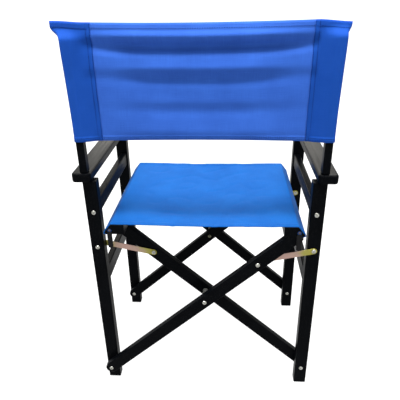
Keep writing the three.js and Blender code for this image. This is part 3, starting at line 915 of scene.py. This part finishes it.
def make_link(name, material):
    """A link plate with rounded ends, soft edges and a hole at each end."""
    low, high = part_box(name)
    radius = LINK_WIDTH / 2
    left_side = name.startswith("left")
    start = Vector(((low.x if left_side else high.x) + (radius if left_side else -radius), low.z + radius))
    end = Vector(((high.x if left_side else low.x) + (-radius if left_side else radius), high.z - radius))
    curve = bpy.data.curves.new(name + "_line", "CURVE")
    curve.dimensions = "2D"
    curve.fill_mode = "BOTH"
    curve.bevel_depth = LINK_SOFT
    curve.bevel_resolution = 2
    curve.extrude = (high.y - low.y) / 2 - curve.bevel_depth
    curve.offset = -curve.bevel_depth
    turns = [2 * math.pi * i / LINK_HOLE_SIDES for i in range(LINK_HOLE_SIDES)]
    outlines = [plate_outline(start, end, radius, LINK_END_STEPS)]
    for centre in (start, end):
        outlines.append([centre + Vector((math.cos(a), math.sin(a))) * LINK_HOLE for a in turns])
    for outline in outlines:
        spline = curve.splines.new("POLY")
        spline.points.add(len(outline) - 1)
        for point, place in zip(spline.points, outline):
            point.co = (place.x, place.y, 0, 1)
        spline.use_cyclic_u = True
    holder = bpy.data.objects.new(name + "_holder", curve)
    bpy.context.scene.collection.objects.link(holder)
    bpy.context.view_layer.update()
    shape = bpy.data.meshes.new_from_object(holder.evaluated_get(bpy.context.evaluated_depsgraph_get()))
    bpy.data.objects.remove(holder)
    middle = (low.y + high.y) / 2
    points = [(v.co.x, middle - v.co.z, v.co.y) for v in shape.vertices]
    faces = [tuple(p.vertices) for p in shape.polygons]
    piece = mesh_piece(name + "_plate", points, faces, material, smooth=False)
    weld(piece)
    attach(piece, name.split("_")[0] + "_links")
    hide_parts(name)


def weld(piece):
    modifier = piece.modifiers.new("weld", "WELD")
    modifier.merge_threshold = WELD_DISTANCE
    apply_modifiers(piece)


def dome(radius, seat_y, direction):
    """The profile of a button head, from its seat outwards."""
    steps = 6
    profile = [(radius * 0.96, seat_y), (radius, seat_y + direction * HEAD_RIM)]
    for i in range(1, steps + 1):
        angle = math.radians(68) * i / steps
        height = HEAD_RIM + (HEAD_HEIGHT - HEAD_RIM) * math.sin(angle)
        profile.append((radius * math.cos(angle) ** 0.8, seat_y + direction * height))
    return profile


def make_fastener(name, material):
    """A button-head bolt, rivet or screw on an axis along Y, with a nut where the part has one."""
    low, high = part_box(name)
    x, z = (low.x + high.x) / 2, (low.z + high.z) / 2
    head = (high.x - low.x) / 2
    forward = "front_rail_screw" in name
    direction = -1 if forward else 1
    tip, end = (high.y, low.y) if forward else (low.y, high.y)
    seat = end - direction * HEAD_HEIGHT
    shank = SCREW_RADIUS if "rail_screw" in name else SHANK_RADIUS
    if "foot_bolt" in name or name.endswith("_cross_bolt") and "link" not in name:
        profile = [
            (0, tip), (NUT_RADIUS - 0.8 * MM, tip), (NUT_RADIUS, tip + 0.6 * MM),
            (NUT_RADIUS, tip + NUT_HEIGHT), (shank, tip + NUT_HEIGHT),
        ]
    else:
        profile = [(0, tip), (shank - 0.5 * MM, tip), (shank, tip + direction * 0.5 * MM)]
    profile += [(shank, seat)] + dome(head, seat, direction)
    mouth = end - direction * 0.25 * MM
    socket = (SOCKET_FLAT, mouth, mouth - direction * SOCKET_DEPTH)
    piece = lathe(name + "_fine", x, z, profile, material, socket)
    if forward:
        piece.data.flip_normals()
    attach(piece, body_of_node(name))
    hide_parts(name)


def body_of_node(name):
    bodies = frame["record"]["behaviour"]["bodies"]
    return next(body for body, nodes in bodies.items() if name in nodes)


def make_ring(name, material):
    """A washer or spacer with softened rims."""
    low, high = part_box(name)
    outer = (high.x - low.x) / 2
    inner, soft = RING_HOLE, RING_SOFT
    profile = [
        (inner, low.y + soft), (inner + soft, low.y), (outer - soft, low.y), (outer, low.y + soft),
        (outer, high.y - soft), (outer - soft, high.y), (inner + soft, high.y), (inner, high.y - soft),
        (inner, low.y + soft),
    ]
    piece = lathe(name + "_fine", (low.x + high.x) / 2, (low.z + high.z) / 2, profile, material)
    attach(piece, body_of_node(name))
    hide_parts(name)


def make_dowel(name, material):
    low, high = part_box(name)
    radius = (high.z - low.z) / 2
    soft = DOWEL_SOFT
    profile = [
        (0, low.y), (radius - soft, low.y), (radius, low.y + soft),
        (radius, high.y - soft), (radius - soft, high.y), (0, high.y),
    ]
    piece = lathe(name + "_fine", (low.x + high.x) / 2, (low.z + high.z) / 2, profile, material)
    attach(piece, body_of_node(name))
    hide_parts(name)


def make_hardware(materials):
    for name in sorted(frame["nodes"]):
        if name.endswith("_link"):
            make_link(name, materials["zinc"])
        elif name.endswith(("_washer", "_spacer")):
            make_ring(name, materials["steel"])
        elif name.endswith("_seat_dowel"):
            make_dowel(name, materials["bare_wood"])
        elif name.endswith(("_bolt", "_rivet", "_rail_screw")):
            # The front cross bolt gets a dark olive steel: painted shade, for a bolt that sits in shadow.
            make_fastener(name, materials["dull_steel" if name == "front_cross_bolt" else "steel"])
        elif name.endswith("_armrest_dowel"):
            paint(frame["nodes"][name], materials["bare_wood"])
        elif "_seat_rail_" in name or name.endswith("_dowel_keeper"):
            paint(frame["nodes"][name], materials["black_steel"])


# ---- Go ----

make_camera()
make_studio()

CROSS_LEG_X, CROSS_LEG_Z = 0.744, 0.668  # the direction a cross leg runs in

materials = {
    "upright": lacquer("lacquer_upright", (0, 0, 1)),
    "level": lacquer("lacquer_level", (0, 1, 0)),
    "to_left": lacquer("lacquer_to_left", (CROSS_LEG_X, 0, CROSS_LEG_Z)),
    "to_right": lacquer("lacquer_to_right", (-CROSS_LEG_X, 0, CROSS_LEG_Z)),
    "zinc": yellow_zinc("zinc_yellow"),
    "steel": metal("zinc_steel", (0.38, 0.38, 0.35), (0.18, 0.18, 0.15), 0.85, 0.22, 0.42),
    # Dark olive steel for the front cross bolt: its darkness is painted shade.
    "dull_steel": metal("dull_steel", (0.12, 0.12, 0.08), (0.05, 0.05, 0.03), 0.85, 0.35, 0.5),
    "black_steel": metal("blackened_steel", (0.006, 0.006, 0.007), (0.003, 0.003, 0.003), 0.0, 0.3, 0.5),
    "bare_wood": bare_wood("dowel_wood"),
}
back_cloth = canvas(
    "back_canvas", (0.0155, 0.058, 0.265), (0.024, 0.086, 0.36), (0.05, 0.18, 0.75), 0.12)
# The sleeves' canvas is darker than the panel's: painted shade, for the double layer of cloth round the post.
shaded_sleeve_cloth = canvas(
    "sleeve_canvas", (0.004, 0.040, 0.22), (0.008, 0.057, 0.29), (0.01, 0.20, 0.90), 0.26)
seat_cloth = canvas(
    "seat_canvas", (0.0012, 0.036, 0.148), (0.0035, 0.054, 0.197), (0.01, 0.12, 0.60), 0.12, gloss=0.03)
thread = sewing_thread("blue_thread", (0.0012, 0.010, 0.085))
dress_wood(materials)
make_back(back_cloth, shaded_sleeve_cloth, thread)
make_seat(seat_cloth, thread)
make_hardware(materials)
